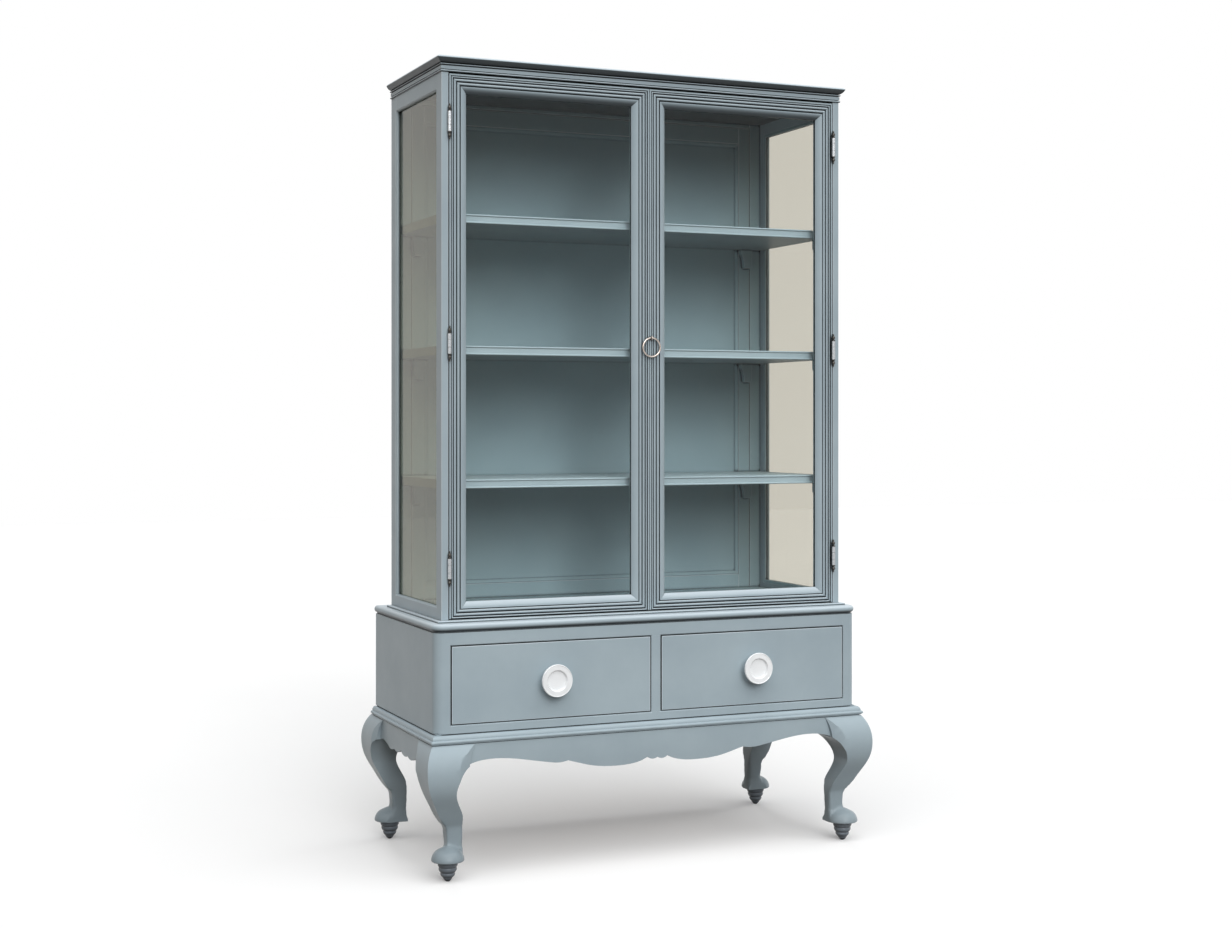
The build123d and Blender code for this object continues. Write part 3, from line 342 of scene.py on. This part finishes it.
BY_SLOT = {
    "painted_wood": OUTSIDE,
    "interior_paint": INSIDE,
    "door_glass": DOOR_PANE,
    "side_glass": SIDE_PANE,
    "white_ceramic": KNOB,
    "pewter": PEWTER,
    "polished_steel": POLISHED,
    "nickel": NICKEL,
    "dark_paint": TOES,
    "raw_wood": WOOD_LEVEL,
    "steel": STEEL,
}
LEGS = ("leg_front_left", "leg_front_right", "leg_back_left", "leg_back_right")
GROUPS = (
    (STAND, LEGS + ("apron_front", "apron_sides")),
    (CASE, ("lower_corner_posts", "drawer_divider", "left_drawer_front", "right_drawer_front")),
    (CORNICE, ("cornice",)),
    (PANEL_BEAD, ("back_panel_bead",)),
    (CEILING, ("top_board",)),
    (MOULDINGS, ("ledge_top", "left_door_stiles", "left_door_rails", "right_door_stiles", "right_door_rails")),
    (FRAMES, ("upper_front_posts", "upper_back_posts", "side_rails")),
    (WOOD_ACROSS, ("lower_back_panel", "lower_bottom_board", "left_drawer_bottom", "right_drawer_bottom")),
    (SHELVES, ("shelf_upper", "shelf_middle", "shelf_lower")),
)
BY_NODE = {name: material for material, names in GROUPS for name in names}
HIGHLIGHT_EDGE_BY_SLOT = {"painted_wood": HIGHLIGHT_EDGES, "interior_paint": SHELF_HIGHLIGHT_EDGES}
SOFT_EDGE = {
    "leg_": 0.0018,
    "apron": 0.0014,
    "drawer_front": 0.0012,
    "shelf": 0.0007,
    "cornice": 0.0005,
    "door_": 0.0006,
}
PLAIN_EDGE = 0.0009
METAL_EDGE = 0.0002
FLUSH_EDGE = 0.0001
EDGE_ANGLE = 38
PANES = ("door_glass", "side_glass")
METALS = ("pewter", "polished_steel", "nickel", "steel")
FLUSH = ("lower_corner_posts", "lower_side_panels", "drawer_rails", "drawer_divider", "side_rails")
CORNERS = ((-1, -1), (1, -1), (1, 1), (-1, 1))
SAME_POINT = 0.00001

PAD_FOOT = 0.05
PAD_CREASE = 0.066
ANKLE_LOW = 0.078
ANKLE_HIGH = 0.14
CARVED_TOP = 0.155
CARVED_EDGE = 0.0035
LONG_EDGE = 1.4 * CARVED_EDGE
CUT_PASSES = 5
CARVED_PASSES = 30
CARVED_PULL = 0.5

TOE_GROOVES = ((0.0042, 0.0), (0.0108, 0.009), (0.0152, 0.0195), (0.0189, 0.031), (0.0204, 0.044))
TOE_BULGES = (0.0009, 0.0025, 0.0025, 0.0025)
RING_FULLNESS = 0.7
RING_STEPS = 10
TOE_SIDES = 64


def new_piece(work, name):
    """The bmesh as an object in the scene."""
    mesh = bpy.data.meshes.new(name)
    work.to_mesh(mesh)
    work.free()
    piece = bpy.data.objects.new(name, mesh)
    scene.collection.objects.link(piece)
    return piece


def carved_weight(height):
    """How far the ankle is smoothed: all the way at its crease with the pad, and not beyond its ends."""
    if height < PAD_CREASE:
        return max(0.0, (height - PAD_FOOT) / (PAD_CREASE - PAD_FOOT))
    return max(0.0, min(1.0, (ANKLE_HIGH - height) / (ANKLE_HIGH - ANKLE_LOW)))


def carved_leg(name):
    """A leg whose ankle runs out smoothly into its pad, as one carved slipper foot."""
    work = bmesh.new()
    work.from_mesh(nodes[name].data)
    bmesh.ops.remove_doubles(work, verts=work.verts, dist=SAME_POINT)
    level = CARVED_TOP
    while level > PAD_FOOT - 2 * CARVED_EDGE:
        everything = work.verts[:] + work.edges[:] + work.faces[:]
        bmesh.ops.bisect_plane(work, geom=everything, plane_co=(0, 0, level), plane_no=(0, 0, 1))
        level -= CARVED_EDGE
    for _ in range(CUT_PASSES):
        long = [
            edge
            for edge in work.edges
            if edge.calc_length() > LONG_EDGE and max(vert.co.z for vert in edge.verts) < CARVED_TOP
        ]
        bmesh.ops.subdivide_edges(work, edges=long, cuts=1)
        bmesh.ops.triangulate(work, faces=[face for face in work.faces if len(face.verts) > 3])
    moving = [(vert, carved_weight(vert.co.z)) for vert in work.verts]
    moving = [(vert, weight) for vert, weight in moving if weight > 0]
    for _ in range(CARVED_PASSES):
        targets = []
        for vert, weight in moving:
            around = [edge.other_vert(vert).co for edge in vert.link_edges]
            mean = sum(around, Vector()) / len(around)
            targets.append(vert.co.lerp(mean, CARVED_PULL * weight))
        for (vert, _), target in zip(moving, targets):
            vert.co = target
    piece = new_piece(work, name + "_carved")
    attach(piece, "cabinet")
    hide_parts(name)
    return piece


def toe_profile():
    """Radius and height from the tip up: four swelling rings with a groove between each two."""
    profile = []
    for (low, high), bulge in zip(zip(TOE_GROOVES, TOE_GROOVES[1:]), TOE_BULGES):
        for step in range(RING_STEPS):
            share = step / RING_STEPS
            swell = bulge * math.sin(math.pi * share) ** RING_FULLNESS
            radius = low[0] + (high[0] - low[0]) * share + swell
            profile.append((radius, low[1] + (high[1] - low[1]) * share))
    return profile + [TOE_GROOVES[-1]]


def turned_toes(name):
    """The four toes with the rounder rings that a lathe leaves, each on the axis of its solid."""
    points = [vert.co for vert in nodes[name].data.vertices]
    turns = [2 * math.pi * side / TOE_SIDES for side in range(TOE_SIDES)]
    work = bmesh.new()
    for side_x, side_y in CORNERS:
        own = [co for co in points if co.x * side_x > 0 and co.y * side_y > 0]
        x = (min(co.x for co in own) + max(co.x for co in own)) / 2
        y = (min(co.y for co in own) + max(co.y for co in own)) / 2
        rings = [
            [
                work.verts.new((x + radius * math.cos(turn), y + radius * math.sin(turn), height))
                for turn in turns
            ]
            for radius, height in toe_profile()
        ]
        for low, high in zip(rings, rings[1:]):
            for side in range(TOE_SIDES):
                after = (side + 1) % TOE_SIDES
                work.faces.new((low[side], low[after], high[after], high[side]))
        work.faces.new(list(reversed(rings[0])))
        work.faces.new(rings[-1])
    piece = new_piece(work, name + "_ringed")
    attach(piece, "cabinet")
    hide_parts(name)
    return piece


def edge_width(name, slot):
    """How wide a node's edges are softened. The last key of SOFT_EDGE that its name holds counts."""
    if name in FLUSH:
        return FLUSH_EDGE
    if slot in METALS:
        return METAL_EDGE
    widths = [width for key, width in SOFT_EDGE.items() if key in name]
    return widths[-1] if widths else PLAIN_EDGE


def soften(node, name, slot):
    """Rounded edges, with lighter bevel faces painted in as highlights, and normals that keep the flats flat.
    """
    weld = node.modifiers.new("weld", "WELD")
    weld.merge_threshold = SAME_POINT
    bevel = node.modifiers.new("edges", "BEVEL")
    bevel.width = edge_width(name, slot)
    if slot in HIGHLIGHT_EDGE_BY_SLOT:
        node.data.materials.append(HIGHLIGHT_EDGE_BY_SLOT[slot])
        bevel.material = 1
    bevel.segments = 2
    bevel.limit_method = "ANGLE"
    bevel.angle_limit = math.radians(EDGE_ANGLE)
    normals = node.modifiers.new("normals", "WEIGHTED_NORMAL")
    normals.mode = "FACE_AREA"
    normals.weight = 100
    normals.keep_sharp = True


for part in frame["record"]["subparts"]:
    name, slot = part["node"], part["material_slot"]
    node = nodes[name]
    if name in LEGS:
        node = carved_leg(name)
    if name == "turned_toes":
        node = turned_toes(name)
    node.data.materials.clear()
    node.data.materials.append(BY_NODE.get(name, BY_SLOT[slot]))
    # The left half of the side glass takes the painted reflection tint.
    if name == "side_glass":
        node.data.materials.append(LEFT_PANE_REFLECTION)
    for face in node.data.polygons:
        face.use_smooth = slot not in PANES
        face.material_index = int(name == "side_glass" and face.center.x < 0)
    if slot not in PANES:
        soften(node, name, slot)


def sun(name, place, strength, softness, colour=(1.0, 1.0, 1.0), mirrored=True):
    """A very wide sun, as soft as a large studio panel, shining from place towards the origin.

    One that is not mirrored gives only diffuse light, so glass and gloss don't show its disc.
    """
    data = bpy.data.lights.new(name, "SUN")
    data.energy = strength
    data.angle = math.radians(softness)
    data.color = colour
    lamp = bpy.data.objects.new(name, data)
    scene.collection.objects.link(lamp)
    lamp.rotation_euler = (-Vector(place)).to_track_quat("-Z", "Y").to_euler()
    lamp.visible_glossy = mirrored
    lamp.visible_transmission = mirrored


def seen_directly(tree):
    """1 for rays from the camera, or after a mirror or glass, that should meet the white backdrop."""
    path = tree.nodes.new("ShaderNodeLightPath")
    seen = path.outputs["Is Camera Ray"]
    for other in ("Is Glossy Ray", "Is Transmission Ray"):
        either = tree.nodes.new("ShaderNodeMath")
        either.operation = "MAXIMUM"
        tree.links.new(seen, either.inputs[0])
        tree.links.new(path.outputs[other], either.inputs[1])
        seen = either.outputs[0]
    return seen


sun("key", place=(-0.02, -0.46, 0.88), strength=2.7, softness=80)
sun("front", place=(-0.08, -0.9, 0.38), strength=1.22, softness=32)
sun("left_fill", place=(-1.0, 0.1, 0.2), strength=0.2, softness=60, colour=(1.0, 0.78, 0.6))
sun("right_fill", place=(1.0, 0.2, 0.12), strength=0.9, softness=30, mirrored=False)
sun("back", place=(0.14, 1.0, 0.1), strength=1.7, softness=15, mirrored=False)

world = bpy.data.worlds.new("studio")
scene.world = world
world.use_nodes = True
tree = world.node_tree
tree.nodes.clear()
soft = tree.nodes.new("ShaderNodeBackground")
soft.inputs["Color"].default_value = (0.95, 0.98, 1.0, 1)
soft.inputs["Strength"].default_value = 0.14
white = tree.nodes.new("ShaderNodeBackground")
white.inputs["Color"].default_value = WHITE
white.inputs["Strength"].default_value = 1.0
choose = tree.nodes.new("ShaderNodeMixShader")
tree.links.new(seen_directly(tree), choose.inputs[0])
tree.links.new(soft.outputs[0], choose.inputs[1])
tree.links.new(white.outputs[0], choose.inputs[2])
world_out = tree.nodes.new("ShaderNodeOutputWorld")
tree.links.new(choose.outputs[0], world_out.inputs["Surface"])

FLOOR_HALF = 14.0
floor_mesh = bpy.data.meshes.new("floor")
floor_mesh.from_pydata([(x * FLOOR_HALF, y * FLOOR_HALF, 0) for x, y in CORNERS], [], [(0, 1, 2, 3)])
floor = bpy.data.objects.new("floor", floor_mesh)
scene.collection.objects.link(floor)
# Seen directly the floor is white paper, and for bounced light it is a dull carpet.
f = Nodes("floor_paper")
tone = f.ramp(f.noise(0.6, 2.0), (0.3, (0.79, 0.79, 0.79, 1)), (0.7, (0.81, 0.81, 0.81, 1)))
paper = f.put(f.new("ShaderNodeBsdfDiffuse"), Color=tone)
glow = f.put(f.new("ShaderNodeEmission"), Strength=0.135)
lit_paper = f.join("ShaderNodeAddShader", paper, glow)
carpet = f.put(f.new("ShaderNodeBsdfDiffuse"), Color=(0.16, 0.14, 0.125, 1))
floor_mesh.materials.append(f.finish(f.join("ShaderNodeMixShader", carpet, lit_paper, seen_directly(f.tree))))

camera_data = bpy.data.cameras.new("camera")
camera = bpy.data.objects.new("camera", camera_data)
scene.collection.objects.link(camera)
camera.location = (-1.739, -4.0019, 1.0028)
camera.rotation_euler = (math.radians(90), 0, math.radians(-23.498))
camera_data.sensor_width = 36
camera_data.lens = 53.245
camera_data.shift_y = -0.0357
scene.camera = camera

scene.view_settings.view_transform = "Standard"
